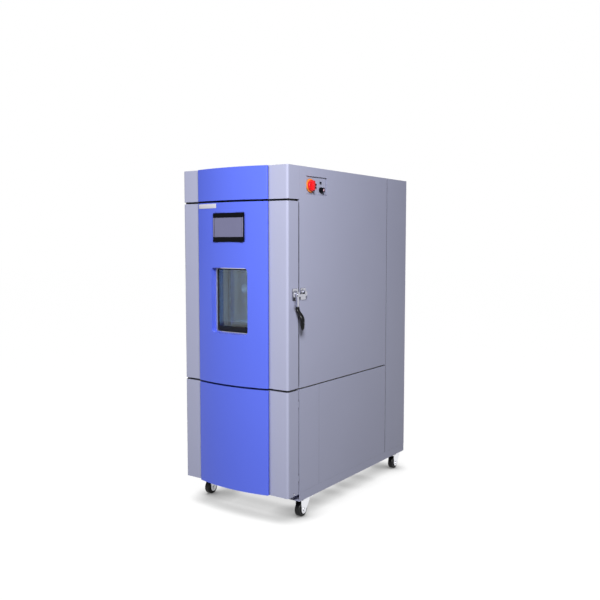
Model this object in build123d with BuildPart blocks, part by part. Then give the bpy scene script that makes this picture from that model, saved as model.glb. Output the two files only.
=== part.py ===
from build123d import *
from math import cos, radians, sin
import os

os.makedirs("parts", exist_ok=True)

# Heights, from the floor up
caster_height = 99
rail_height = 46
machine_height = 538
door_pitch = 947
header_height = 170

# Plan of the cabinet
cabinet_width = 690
cabinet_depth = 1263
side_setback = 99
rear_column = 255
corner_radius = 12
rear_corner_radius = 6

# Sheet metal and seams
sheet = 1.5
fold = 12
door_gap = 10
panel_gap = 6
seat_gap = 0.3
shaft_gap = 0.05

# Blue front panels
fascia_width = 456
fascia_edge = 14
fascia_bulge = 43
fascia_sheet = 2
fascia_round = 4

# Reach of the fittings outside the cabinet
screen_proud = 4
grip_reach = 56
hinge_offset = 10
knuckle_radius = 8
gland_reach = 26

# Levels
rail_bottom = caster_height
rail_top = rail_bottom + rail_height
low_seam = rail_top + machine_height
high_seam = low_seam + door_pitch
top_z = high_seam + header_height

# Planes of the cabinet, with the origin in the middle of the whole part
hinge_reach = hinge_offset + knuckle_radius
mid_x = (hinge_reach - grip_reach) / 2
half = cabinet_width / 2
left_x = mid_x - half
right_x = mid_x + half
front_reach = fascia_bulge + screen_proud
front_y = -(front_reach + cabinet_depth + gland_reach) / 2 + front_reach
back_y = front_y + cabinet_depth
side_y = front_y + side_setback
pan_y = side_y - door_gap
column_y = back_y - rear_column
core_half = half - fold - seat_gap


def keep(piece, name):
    """Label a finished piece and write it."""
    piece.part.label = name
    export_step(piece.part, f"parts/{name}.step")


def block(x0, x1, y0, y1, z0, z1, mode=Mode.ADD):
    """A box between two corners, in the builder that is open."""
    with Locations(((x0 + x1) / 2, (y0 + y1) / 2, (z0 + z1) / 2)):
        Box(x1 - x0, y1 - y0, z1 - z0, mode=mode)


def front_plane(x, y, z):
    """A plane that faces the front, with its x to the right and its y up."""
    return Plane(origin=(x, y, z), x_dir=(1, 0, 0), z_dir=(0, -1, 0))


def back_plane(x, y, z):
    """A plane that faces the back, with its x to the left and its y up."""
    return Plane(origin=(x, y, z), x_dir=(-1, 0, 0), z_dir=(0, 1, 0))


def right_plane(x, y, z):
    """A plane that faces right, with its x to the back and its y up."""
    return Plane(origin=(x, y, z), x_dir=(0, 1, 0), z_dir=(1, 0, 0))


def left_plane(x, y, z):
    """A plane that faces left, with its x to the front and its y up."""
    return Plane(origin=(x, y, z), x_dir=(0, -1, 0), z_dir=(-1, 0, 0))


# Front covers: folded grey pans with rounded upright corners, open at the back
def front_pan(rear_y, z0, z1):
    """A front cover from z0 to z1 that ends in a turned-in edge at rear_y."""
    depth = rear_y - front_y
    with BuildPart() as pan:
        with BuildSketch(Plane.XY.offset(z0)) as outside:
            with Locations((mid_x, front_y + depth / 2)):
                Rectangle(cabinet_width, depth)
            fillet(outside.vertices().group_by(Axis.Y)[0], corner_radius)
        extrude(amount=z1 - z0)
        with BuildSketch(Plane.XY.offset(z0 + sheet)) as inside:
            with Locations((mid_x, front_y + depth / 2)):
                Rectangle(cabinet_width - 2 * sheet, depth - 2 * sheet)
            fillet(inside.vertices().group_by(Axis.Y)[0], corner_radius - sheet)
        extrude(amount=z1 - z0 - 2 * sheet, mode=Mode.SUBTRACT)
        block(left_x + fold, right_x - fold, rear_y - 2 * sheet, rear_y + sheet,
              z0 + fold, z1 - fold, Mode.SUBTRACT)
    return pan


def fascia(z0, z1):
    """A convex blue panel from z0 to z1, closed at its ends and open at the back."""
    rise = fascia_bulge - fascia_edge
    with BuildPart() as panel:
        for wall, mode in ((0, Mode.ADD), (fascia_sheet, Mode.SUBTRACT)):
            reach = fascia_width / 2 - wall
            edge_y = front_y - fascia_edge + wall
            with BuildSketch(Plane.XY.offset(z0 + wall)) as outline:
                with BuildLine():
                    Line((mid_x + reach, front_y), (mid_x - reach, front_y))
                    Line((mid_x - reach, front_y), (mid_x - reach, edge_y))
                    ThreePointArc((mid_x - reach, edge_y), (mid_x, edge_y - rise),
                                  (mid_x + reach, edge_y))
                    Line((mid_x + reach, edge_y), (mid_x + reach, front_y))
                make_face()
                fillet(outline.vertices().group_by(Axis.Y)[0], fascia_round - wall)
            extrude(amount=z1 - z0 - 2 * wall, mode=mode)
    return panel


header_z0 = high_seam + door_gap / 2
header_cover = front_pan(side_y - seat_gap, header_z0, top_z)
keep(header_cover, "header_cover")
keep(fascia(header_z0, top_z), "header_fascia")

cover_drop = 6
lower_z0 = rail_top - cover_drop
lower_z1 = low_seam - door_gap / 2
keep(front_pan(pan_y, lower_z0, lower_z1), "lower_cover")
keep(fascia(lower_z0, lower_z1), "lower_fascia")

# Door: shell, blue fascia with the window tunnel, and the openings in them
door_z0 = low_seam + door_gap / 2
door_z1 = high_seam - door_gap / 2
window_width = 238
window_height = 340
window_radius = 20
window_rise = 269
window_z = low_seam + window_rise + window_height / 2
window_wall = 3
screen_width = 200
screen_height = 146
screen_rise = 815
screen_z = low_seam + screen_rise
screen_shift = 4
screen_lap = 15
screen_x = mid_x + screen_shift

with BuildPart() as door_shell:
    add(front_pan(pan_y, door_z0, door_z1).part)
    with BuildSketch(front_plane(mid_x, front_y + 2 * sheet, window_z)):
        RectangleRounded(window_width + 2 * (window_wall + seat_gap),
                         window_height + 2 * (window_wall + seat_gap), window_radius)
    extrude(amount=3 * sheet, mode=Mode.SUBTRACT)
    block(screen_x - screen_width / 2 + screen_lap, screen_x + screen_width / 2 - screen_lap,
          front_y - sheet, front_y + 2 * sheet,
          screen_z - screen_height / 2 + screen_lap, screen_z + screen_height / 2 - screen_lap,
          Mode.SUBTRACT)
keep(door_shell, "door_shell")

with BuildPart() as door_fascia:
    add(fascia(door_z0, door_z1).part)
    # The window tunnel, trimmed to the curve of the panel
    with BuildSketch(front_plane(mid_x, front_y, window_z)):
        RectangleRounded(window_width + 2 * fascia_sheet,
                         window_height + 2 * fascia_sheet, window_radius + fascia_sheet)
    extrude(amount=2 * fascia_bulge)
    with BuildSketch(Plane.XY.offset(door_z0)):
        with BuildLine():
            ThreePointArc((mid_x - fascia_width / 2, front_y - fascia_edge),
                          (mid_x, front_y - fascia_bulge),
                          (mid_x + fascia_width / 2, front_y - fascia_edge))
            Polyline((mid_x + fascia_width / 2, front_y - fascia_edge),
                     (mid_x + fascia_width / 2, front_y - 3 * fascia_bulge),
                     (mid_x - fascia_width / 2, front_y - 3 * fascia_bulge),
                     (mid_x - fascia_width / 2, front_y - fascia_edge))
        make_face()
    extrude(amount=door_z1 - door_z0, mode=Mode.SUBTRACT)
    with BuildSketch(front_plane(mid_x, front_y, window_z)):
        RectangleRounded(window_width, window_height, window_radius)
    extrude(amount=2 * fascia_bulge, mode=Mode.SUBTRACT)
    block(screen_x - screen_width / 2 - seat_gap, screen_x + screen_width / 2 + seat_gap,
          front_y - 2 * fascia_bulge, front_y - fascia_edge,
          screen_z - screen_height / 2 - seat_gap, screen_z + screen_height / 2 + seat_gap,
          Mode.SUBTRACT)
keep(door_fascia, "door_fascia")

# Touch panel: a black bezel through the blue panel, with the screen let into it
bezel_depth = 30
bezel_side = 9
bezel_top = 24
bezel_bottom = 24
screen_sink = 1
screen_glass = 4
bezel_y = front_y - front_reach
with BuildPart() as touch_panel_bezel:
    with BuildSketch(front_plane(screen_x, bezel_y, screen_z)):
        RectangleRounded(screen_width, screen_height, 4)
    extrude(amount=-bezel_depth)
    block(screen_x - screen_width / 2 + bezel_side, screen_x + screen_width / 2 - bezel_side,
          bezel_y - sheet, bezel_y + screen_sink + screen_glass,
          screen_z - screen_height / 2 + bezel_bottom,
          screen_z + screen_height / 2 - bezel_top, Mode.SUBTRACT)
keep(touch_panel_bezel, "touch_panel_bezel")

with BuildPart() as touch_screen:
    block(screen_x - screen_width / 2 + bezel_side + seat_gap,
          screen_x + screen_width / 2 - bezel_side - seat_gap,
          bezel_y + screen_sink, bezel_y + screen_sink + screen_glass,
          screen_z - screen_height / 2 + bezel_bottom + seat_gap,
          screen_z + screen_height / 2 - bezel_top - seat_gap)
keep(touch_screen, "touch_screen")

# Chamber: the working space with its stainless liner
chamber_width = 500
chamber_height = 750
chamber_depth = 780
chamber_z0 = low_seam + 98
chamber_z1 = chamber_z0 + chamber_height
chamber_y1 = side_y + chamber_depth
core_lap = 15
core_z0 = low_seam - core_lap
core_z1 = high_seam + core_lap
wall_foam = 105
core_y1 = chamber_y1 + wall_foam
fan_z = chamber_z0 + 430
shaft_radius = 8
shaft_hole = 14
port_radius = 25
port_wall = 1.5
port_z = chamber_z0 + 375
port_y = side_y + 300
baffle_y = side_y + 605

with BuildPart() as chamber_liner:
    block(mid_x - core_half, mid_x + core_half, side_y, side_y + sheet, core_z0, core_z1)
    block(mid_x - chamber_width / 2 - sheet, mid_x + chamber_width / 2 + sheet,
          side_y, chamber_y1 + sheet, chamber_z0 - sheet, chamber_z1 + sheet)
    block(mid_x - chamber_width / 2, mid_x + chamber_width / 2,
          side_y - sheet, chamber_y1, chamber_z0, chamber_z1, Mode.SUBTRACT)
    with BuildSketch(back_plane(mid_x, chamber_y1 - sheet, fan_z)):
        Circle(shaft_hole)
    extrude(amount=3 * sheet, mode=Mode.SUBTRACT)
    with BuildSketch(left_plane(mid_x - chamber_width / 2 + sheet, port_y, port_z)):
        Circle(port_radius + port_wall + seat_gap)
    extrude(amount=3 * sheet, mode=Mode.SUBTRACT)
keep(chamber_liner, "chamber_liner")

# Insulation: mineral wool boards round the liner, with a hair joint between them
joint = seat_gap
wool_x0, wool_x1 = mid_x - core_half, mid_x + core_half
cavity_x0 = mid_x - chamber_width / 2 - sheet
cavity_x1 = mid_x + chamber_width / 2 + sheet
cavity_z0, cavity_z1 = chamber_z0 - sheet, chamber_z1 + sheet
wool_y0 = side_y + sheet
with BuildPart() as chamber_insulation:
    block(wool_x0, wool_x1, wool_y0, core_y1, core_z0, cavity_z0)
    block(wool_x0, wool_x1, wool_y0, core_y1, cavity_z1, core_z1)
    block(wool_x0, cavity_x0, wool_y0, core_y1, cavity_z0 + joint, cavity_z1 - joint)
    block(cavity_x1, wool_x1, wool_y0, core_y1, cavity_z0 + joint, cavity_z1 - joint)
    block(cavity_x0 + joint, cavity_x1 - joint, chamber_y1 + sheet, core_y1,
          cavity_z0 + joint, cavity_z1 - joint)
    with BuildSketch(back_plane(mid_x, chamber_y1 - sheet, fan_z)):
        Circle(shaft_hole)
    extrude(amount=wall_foam + 2 * sheet, mode=Mode.SUBTRACT)
    with BuildSketch(left_plane(mid_x, port_y, port_z)):
        Circle(port_radius + port_wall + seat_gap)
    extrude(amount=half, mode=Mode.SUBTRACT)
keep(chamber_insulation, "chamber_insulation")

# Inside of the door: liner with a plug that enters the chamber, foam and gasket
plug_gap = 12
plug_depth = 24
plug_y = side_y + plug_depth
plug_half = chamber_width / 2 - plug_gap
plug_z0 = chamber_z0 + plug_gap
plug_z1 = chamber_z1 - plug_gap
frame_width = window_width + 2 * window_wall
frame_height = window_height + 2 * window_wall

with BuildPart() as door_liner:
    block(left_x + fold + seat_gap, right_x - fold - seat_gap, pan_y - sheet, pan_y,
          door_z0 + fold + seat_gap, door_z1 - fold - seat_gap)
    block(mid_x - plug_half, mid_x + plug_half, pan_y - sheet, plug_y, plug_z0, plug_z1)
    block(mid_x - plug_half + sheet, mid_x + plug_half - sheet, pan_y - 2 * sheet,
          plug_y - sheet, plug_z0 + sheet, plug_z1 - sheet, Mode.SUBTRACT)
    with BuildSketch(front_plane(mid_x, plug_y + sheet, window_z)):
        RectangleRounded(frame_width + 2 * seat_gap, frame_height + 2 * seat_gap,
                         window_radius)
    extrude(amount=3 * sheet, mode=Mode.SUBTRACT)
keep(door_liner, "door_liner")

with BuildPart() as door_insulation:
    block(left_x + fold + seat_gap, right_x - fold - seat_gap, front_y + sheet,
          pan_y - sheet, door_z0 + fold + seat_gap, door_z1 - fold - seat_gap)
    block(mid_x - plug_half + sheet, mid_x + plug_half - sheet, pan_y - 2 * sheet,
          plug_y - sheet, plug_z0 + sheet, plug_z1 - sheet)
    with BuildSketch(front_plane(mid_x, plug_y, window_z)):
        RectangleRounded(frame_width + 2 * seat_gap, frame_height + 2 * seat_gap,
                         window_radius)
    extrude(amount=plug_y - front_y, mode=Mode.SUBTRACT)
keep(door_insulation, "door_insulation")

gasket_inset = 4
gasket_width = 36
gasket_cover = 12
with BuildPart() as door_gasket:
    with BuildSketch(back_plane(mid_x, pan_y, (door_z0 + door_z1) / 2)):
        gasket_height = door_z1 - door_z0 - 2 * gasket_inset
        RectangleRounded(cabinet_width - 2 * gasket_inset, gasket_height, gasket_cover)
        RectangleRounded(cabinet_width - 2 * (gasket_inset + gasket_width),
                         gasket_height - 2 * gasket_width, gasket_cover, mode=Mode.SUBTRACT)
    extrude(amount=door_gap - seat_gap)
    rear_rim = door_gasket.faces().sort_by(Axis.Y)[-1]
    chamfer(rear_rim.edges(), 3)
keep(door_gasket, "door_gasket")

# Window: a stainless frame through the door, with three panes in it
pane_thickness = 5
pane_setbacks = (10, 55, side_setback + 4)
with BuildPart() as window_frame:
    with BuildSketch(back_plane(mid_x, front_y, window_z)):
        RectangleRounded(frame_width, frame_height, window_radius - seat_gap)
    extrude(amount=plug_y - front_y)
    with BuildSketch(back_plane(mid_x, plug_y, window_z)):
        RectangleRounded(frame_width + 2 * fold, frame_height + 2 * fold, window_radius)
    extrude(amount=sheet)
    with BuildSketch(back_plane(mid_x, front_y, window_z)):
        RectangleRounded(window_width, window_height, window_radius - window_wall)
    extrude(amount=plug_y - front_y + 2 * sheet, mode=Mode.SUBTRACT)
keep(window_frame, "window_frame")

with BuildPart() as window_panes:
    for setback in pane_setbacks:
        with BuildSketch(back_plane(mid_x, front_y + setback, window_z)):
            RectangleRounded(window_width - 2 * seat_gap, window_height - 2 * seat_gap,
                             window_radius - window_wall - seat_gap)
        extrude(amount=pane_thickness)
keep(window_panes, "window_panes")


# Side panels: trays with all four edges turned in
def side_tray(face_x, inward, y0, y1, z0, z1):
    """A side panel on the plane face_x, with its edges turned inward (1 is to the right)."""
    with BuildPart() as tray:
        x0, x1 = sorted((face_x, face_x + inward * fold))
        block(x0, x1, y0, y1, z0, z1)
        x0, x1 = sorted((face_x + inward * sheet, face_x + inward * 2 * fold))
        block(x0, x1, y0 + sheet, y1 - sheet, z0 + sheet, z1 - sheet, Mode.SUBTRACT)
    return tray


tray_y1 = column_y - panel_gap / 2
upper_z0 = low_seam + panel_gap / 2
lower_top = low_seam - panel_gap / 2
service_y = front_y + 279
service_gap = 1
plate_y0 = front_y + 160
plate_width = 189
plate_height = 92
plate_z0 = high_seam + 33
plate_depth = 6

with BuildPart() as right_side_panel:
    add(side_tray(right_x, -1, side_y, tray_y1, upper_z0, top_z).part)
    block(right_x - 2 * sheet, right_x + sheet, plate_y0, plate_y0 + plate_width,
          plate_z0, plate_z0 + plate_height, Mode.SUBTRACT)
keep(right_side_panel, "right_side_panel")

with BuildPart() as right_lower_panels:
    add(side_tray(right_x, -1, side_y, service_y - service_gap / 2,
                  rail_top + seat_gap, lower_top).part)
    add(side_tray(right_x, -1, service_y + service_gap / 2, tray_y1,
                  rail_top + seat_gap, lower_top).part)
keep(right_lower_panels, "right_lower_panels")

with BuildPart() as left_side_panels:
    add(side_tray(left_x, 1, side_y, tray_y1, upper_z0, top_z).part)
    add(side_tray(left_x, 1, side_y, tray_y1, rail_top + seat_gap, lower_top).part)
    with BuildSketch(left_plane(left_x + 2 * sheet, port_y, port_z)):
        Circle(port_radius + port_wall + seat_gap)
    extrude(amount=3 * sheet, mode=Mode.SUBTRACT)
keep(left_side_panels, "left_side_panels")

with BuildPart() as top_panel:
    top_y0 = side_y
    top_y1 = back_y - fold - seat_gap
    block(mid_x - core_half, mid_x + core_half, top_y0, top_y1, top_z - fold, top_z)
    block(mid_x - core_half + sheet, mid_x + core_half - sheet, top_y0 + sheet,
          top_y1 - sheet, top_z - 2 * fold, top_z - sheet, Mode.SUBTRACT)
keep(top_panel, "top_panel")

# Rear shell: one folded cover round the back column, with two service openings
shell_y = column_y + panel_gap / 2
vent_width = 520
vent_height = 400
vent_z = rail_top + 270
service_width = 520
service_height = 860
service_z = low_seam + 480
gland_z = rail_top + 40
gland_x = mid_x + 250
gland_thread = 12

with BuildPart() as rear_shell:
    with BuildSketch(Plane.XY.offset(rail_top + seat_gap)) as outside:
        with Locations((mid_x, (shell_y + back_y) / 2)):
            Rectangle(cabinet_width, back_y - shell_y)
        fillet(outside.vertices().group_by(Axis.Y)[-1], rear_corner_radius)
    extrude(amount=top_z - rail_top - seat_gap)
    with BuildSketch(Plane.XY.offset(rail_top - sheet)) as inside:
        with Locations((mid_x, (shell_y + back_y) / 2)):
            Rectangle(cabinet_width - 2 * sheet, back_y - shell_y - 2 * sheet)
        fillet(inside.vertices().group_by(Axis.Y)[-1], rear_corner_radius - sheet)
    extrude(amount=top_z - rail_top, mode=Mode.SUBTRACT)
    block(left_x + fold, right_x - fold, shell_y - sheet, back_y - fold,
          rail_top - sheet, top_z + sheet, Mode.SUBTRACT)
    for width, height, z in ((vent_width, vent_height, vent_z),
                             (service_width, service_height, service_z)):
        block(mid_x - width / 2 + fold, mid_x + width / 2 - fold,
              back_y - 2 * sheet, back_y + sheet,
              z - height / 2 + fold, z + height / 2 - fold, Mode.SUBTRACT)
    with BuildSketch(back_plane(gland_x, back_y - 2 * sheet, gland_z)):
        Circle(gland_thread + seat_gap)
    extrude(amount=3 * sheet, mode=Mode.SUBTRACT)
keep(rear_shell, "rear_shell")

# Louvred cover on the back: rows of pressed hoods, each open at its lower edge
louvre_length = 210
louvre_height = 16
louvre_reach = 9
louvre_rows = 11
louvre_pitch = 32
louvre_columns = 2
louvre_spacing = 240


def hood_profile(wall):
    """The end outline of one hood as an arc from its root to its open lip."""
    root = louvre_height / 2 - wall
    with BuildLine() as line:
        ThreePointArc((0, root), ((louvre_reach - wall) * 0.72, root * 0.45),
                      (louvre_reach - wall, -louvre_height / 2))
        Line((louvre_reach - wall, -louvre_height / 2), (0, -louvre_height / 2))
        Line((0, -louvre_height / 2), (0, root))
    return line


with BuildPart() as louvre_panel:
    block(mid_x - vent_width / 2, mid_x + vent_width / 2, back_y, back_y + sheet,
          vent_z - vent_height / 2, vent_z + vent_height / 2)
    for column in range(louvre_columns):
        hood_x = mid_x + (column - (louvre_columns - 1) / 2) * louvre_spacing
        for row in range(louvre_rows):
            hood_z = vent_z + (row - (louvre_rows - 1) / 2) * louvre_pitch
            block(hood_x - louvre_length / 2 + sheet, hood_x + louvre_length / 2 - sheet,
                  back_y - sheet, back_y + 2 * sheet,
                  hood_z - louvre_height / 2, hood_z + louvre_height / 2 - sheet,
                  Mode.SUBTRACT)
            end_plane = Plane(origin=(hood_x - louvre_length / 2, back_y + sheet, hood_z),
                              x_dir=(0, 1, 0), z_dir=(1, 0, 0))
            with BuildSketch(end_plane):
                add(hood_profile(0).line)
                make_face()
            extrude(amount=louvre_length)
            with BuildSketch(end_plane.offset(sheet)):
                add(hood_profile(sheet).line)
                make_face()
            extrude(amount=louvre_length - 2 * sheet, mode=Mode.SUBTRACT)
keep(louvre_panel, "louvre_panel")

with BuildPart() as rear_service_panel:
    with BuildSketch(back_plane(mid_x, back_y, service_z)):
        RectangleRounded(service_width, service_height, 4)
    extrude(amount=sheet)
keep(rear_service_panel, "rear_service_panel")

# Base frame: straight members, each butting against its neighbours
rail_width = 40
rail_rear = 7
tube_wall = 2.5
floor_sheet = 3
post = 30
gusset_reach = 50
gusset_sheet = 4
caster_side_inset = 34
caster_front_inset = 87
caster_rear_inset = 60
beam_setbacks = (470, 800)
pad_height = 30
pad_inset = 2
pad_rise = 60
pad_drop = 20
rail_y1 = back_y - rail_rear
rear_post_y = column_y - post / 2
post_top = top_z - fold - seat_gap
fork_centres = [(mid_x + side * (half - caster_side_inset), y)
                for y in (side_y + caster_front_inset, back_y - caster_rear_inset)
                for side in (-1, 1)]


def member(x0, x1, y0, y1, z0, z1, wall):
    """A straight member between two corners: a tube along its longest side, or solid at wall 0."""
    spans = (x1 - x0, y1 - y0, z1 - z0)
    run = spans.index(max(spans))
    in_x, in_y, in_z = (0 if axis == run else wall for axis in range(3))
    with BuildPart() as bar:
        block(x0, x1, y0, y1, z0, z1)
        if wall:
            block(x0 + in_x, x1 - in_x, y0 + in_y, y1 - in_y, z0 + in_z, z1 - in_z,
                  Mode.SUBTRACT)
    return bar.part.solid()


rail_x0, rail_x1 = left_x + rail_width, right_x - rail_width
rail_z1 = rail_top - floor_sheet
ring_z0 = core_z0 - post
members = [
    member(left_x, rail_x0, side_y, rail_y1, rail_bottom, rail_z1, tube_wall),
    member(rail_x1, right_x, side_y, rail_y1, rail_bottom, rail_z1, tube_wall),
    member(rail_x0, rail_x1, side_y, side_y + rail_width, rail_bottom, rail_z1, tube_wall),
    member(rail_x0, rail_x1, rail_y1 - rail_width, rail_y1, rail_bottom, rail_z1, tube_wall),
    member(left_x, right_x, side_y, rail_y1, rail_z1, rail_top, 0),
    member(mid_x - core_half, mid_x + core_half, rear_post_y, rear_post_y + post,
           post_top - post, post_top, tube_wall),
]
for setback in beam_setbacks:
    beam_y0 = front_y + setback - rail_width / 2
    members.append(member(rail_x0, rail_x1, beam_y0, beam_y0 + rail_width,
                          rail_bottom, rail_z1, tube_wall))
for ring_y in (side_y, rear_post_y):
    members.append(member(mid_x - core_half, mid_x + core_half, ring_y, ring_y + post,
                          ring_z0, core_z0, tube_wall))
for x, y in fork_centres:
    members.append(member(max(rail_x0, x - gusset_reach), min(rail_x1, x + gusset_reach),
                          max(side_y + rail_width, y - gusset_reach),
                          min(rail_y1 - rail_width, y + gusset_reach),
                          rail_bottom, rail_bottom + gusset_sheet, 0))
for side in (-1, 1):
    x0, x1 = sorted((mid_x + side * core_half, mid_x + side * (core_half - post)))
    members.append(member(x0, x1, side_y, side_y + post, rail_top, ring_z0, tube_wall))
    members.append(member(x0, x1, rear_post_y, rear_post_y + post, rail_top, ring_z0, tube_wall))
    members.append(member(x0, x1, rear_post_y, rear_post_y + post, core_z0, post_top - post,
                          tube_wall))
    members.append(member(x0, x1, side_y + post, rear_post_y, ring_z0, core_z0, tube_wall))
    pad_x0, pad_x1 = sorted((mid_x + side * (core_half - post / 2),
                             mid_x + side * (half - pad_inset)))
    for pad_z in (rail_top + pad_rise, ring_z0 - pad_drop - pad_height):
        members.append(member(pad_x0, pad_x1, pan_y, side_y, pad_z, pad_z + pad_height, 0))
base_frame = Compound(members, label="base_frame")
export_step(base_frame, "parts/base_frame.step")

# Casters: plate, swivel fork with its axle, and wheel, at each corner
wheel_radius = 37.5
wheel_width = 32
wheel_trail = 26
axle_radius = 6
cheek = 3
cheek_gap = 2
cheek_reach = 21
plate_long = 88
plate_wide = 66
plate_sheet = 4
race_radius = 24
race_height = 4
race_z = rail_bottom - plate_sheet - race_height
crown_z = race_z - seat_gap - cheek - 1
pin_radius = 6
fork_half = wheel_width / 2 + cheek_gap + cheek

with BuildPart() as caster_plates:
    for x, y in fork_centres:
        with BuildSketch(Plane.XY.offset(rail_bottom - plate_sheet)):
            with Locations((x, y)):
                RectangleRounded(plate_wide, plate_long, 6)
        extrude(amount=plate_sheet)
        with BuildSketch(Plane.XY.offset(race_z)):
            with Locations((x, y)):
                Circle(race_radius)
        extrude(amount=race_height)
        with Locations((x, y, rail_bottom)):
            Hole(pin_radius + shaft_gap, rail_bottom - race_z + sheet)
keep(caster_plates, "caster_plates")


def fork(x, y):
    """A swivel fork: crown, two tapered cheeks that lean to the wheel, pin and axle."""
    wheel_y = y - wheel_trail
    with BuildPart() as body:
        for side in (-1, 1):
            with BuildSketch(right_plane(x + side * (fork_half - cheek / 2) - cheek / 2,
                                         wheel_y, wheel_radius)):
                with BuildLine():
                    top = crown_z - wheel_radius
                    back = wheel_trail + race_radius
                    ThreePointArc((-cheek_reach, 0), (0, -cheek_reach), (cheek_reach, 0))
                    Polyline((cheek_reach, 0), (back, top - 10), (back, top),
                             (-cheek_reach, top), (-cheek_reach, 0))
                make_face()
            extrude(amount=cheek)
        block(x - fork_half, x + fork_half, wheel_y - cheek_reach, y + race_radius,
              crown_z, crown_z + cheek)
        fillet(body.edges().filter_by(Axis.Y).group_by(Axis.Z)[-1], cheek - 0.5)
        with BuildSketch(Plane.XY.offset(crown_z + cheek)):
            with Locations((x, y)):
                Circle(race_radius - 2)
        extrude(amount=1)
        with BuildSketch(Plane.XY.offset(crown_z + cheek)):
            with Locations((x, y)):
                Circle(pin_radius)
        extrude(amount=rail_bottom - crown_z - cheek)
        with BuildSketch(right_plane(x - fork_half - 4, wheel_y, wheel_radius)):
            Circle(axle_radius)
        extrude(amount=2 * fork_half + 8)
    return body


def wheel(x, y):
    """A caster wheel: crowned tread, dished faces and a hub with its bore."""
    hub_half = wheel_width / 2 + cheek_gap - seat_gap
    with BuildPart() as body:
        with BuildSketch(Plane(origin=(x, y - wheel_trail, wheel_radius),
                               x_dir=(1, 0, 0), z_dir=(0, -1, 0))):
            with BuildLine():
                bore = axle_radius + shaft_gap
                rim = wheel_width / 2
                Polyline((-hub_half, bore), (-hub_half, 12), (-rim + 4, 15),
                         (-rim + 4, 24), (-rim, 26), (-rim, wheel_radius - 5),
                         (-rim + 2, wheel_radius - 1.5), (-rim + 5, wheel_radius),
                         (rim - 5, wheel_radius), (rim - 2, wheel_radius - 1.5),
                         (rim, wheel_radius - 5), (rim, 26), (rim - 4, 24), (rim - 4, 15),
                         (hub_half, 12), (hub_half, bore), close=True)
            make_face()
        revolve(axis=Axis((x, y - wheel_trail, wheel_radius), (1, 0, 0)))
    return body


caster_names = ("front_left", "front_right", "rear_left", "rear_right")
for caster_name, (x, y) in zip(caster_names, fork_centres):
    keep(fork(x, y), f"caster_fork_{caster_name}")
    keep(wheel(x, y), f"caster_wheel_{caster_name}")

# Door hinges on the left side: lift-off leaves, with the pin in the cabinet's leaf
hinge_x = left_x - hinge_offset
hinge_y = side_y - door_gap / 2
leaf_sheet = 3
leaf_reach = 46
leaf_start = 6
knuckle_height = 46
knuckle_gap = 1
hinge_pin = 4
hinge_inset = 130
hinge_zs = (door_z0 + hinge_inset, door_z1 - hinge_inset)


def hinge_leaf(z, rearward, knuckle_z0):
    """Leaf, knuckle and the web between them; rearward is 1 on the cabinet, -1 on the door."""
    near_y, far_y = sorted((hinge_y + rearward * leaf_start, hinge_y + rearward * leaf_reach))
    with BuildPart() as leaf:
        block(left_x - leaf_sheet, left_x, near_y, far_y,
              z - knuckle_height - 1, z + knuckle_height + 1)
        web_y0, web_y1 = sorted((hinge_y, hinge_y + rearward * leaf_start * 1.5))
        block(left_x - leaf_sheet, left_x, web_y0, web_y1, knuckle_z0,
              knuckle_z0 + knuckle_height - knuckle_gap)
        with BuildSketch(Plane.XY.offset(knuckle_z0)):
            with Locations((hinge_x, hinge_y)):
                Circle(knuckle_radius)
        extrude(amount=knuckle_height - knuckle_gap)
    return leaf


with BuildPart() as hinge_cabinet_leaves:
    for z in hinge_zs:
        add(hinge_leaf(z, 1, z - knuckle_height).part)
        with BuildSketch(Plane.XY.offset(z - knuckle_height)):
            with Locations((hinge_x, hinge_y)):
                Circle(hinge_pin)
        extrude(amount=2 * knuckle_height - 4)
keep(hinge_cabinet_leaves, "hinge_cabinet_leaves")

with BuildPart() as hinge_door_leaves:
    for z in hinge_zs:
        add(hinge_leaf(z, -1, z).part)
        with BuildSketch(Plane.XY.offset(z - 1)):
            with Locations((hinge_x, hinge_y)):
                Circle(hinge_pin + shaft_gap)
        extrude(amount=knuckle_height - 2, mode=Mode.SUBTRACT)
keep(hinge_door_leaves, "hinge_door_leaves")

# Latch on the right side: body, hooked lever with its grip, strike with a roller
latch_y = front_y + 60
latch_z = low_seam + 480
latch_width = 48
latch_height = 59
latch_sheet = 3
boss_height = 11
boss_radius = 16
lever_x0 = right_x + boss_height + seat_gap
lever_thickness = 8.8
latch_pin = 5
latch_head = 9
head_height = 2.5
roller_y = latch_y + 62
roller_rise = 9
roller_radius = 7
roller_pin = 4
strike_width = 45
strike_shift = 6
lever_length = 70
hook_gap = 1.5
head_x = lever_x0 + lever_thickness + seat_gap

with BuildPart() as latch_body:
    with BuildSketch(right_plane(right_x, latch_y, latch_z)):
        RectangleRounded(latch_width, latch_height, 6)
    extrude(amount=latch_sheet)
    with BuildSketch(right_plane(right_x + latch_sheet, latch_y, latch_z)):
        Circle(boss_radius + 3)
    extrude(amount=boss_height - latch_sheet, taper=18)
    with BuildSketch(right_plane(right_x + boss_height, latch_y, latch_z)):
        Circle(latch_pin)
    extrude(amount=head_x + head_height - right_x - boss_height)
    with BuildSketch(right_plane(head_x, latch_y, latch_z)):
        Circle(latch_head)
    extrude(amount=head_height)
    fillet(latch_body.faces().sort_by(Axis.X)[-1].edges(), 1)
keep(latch_body, "latch_body")

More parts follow.
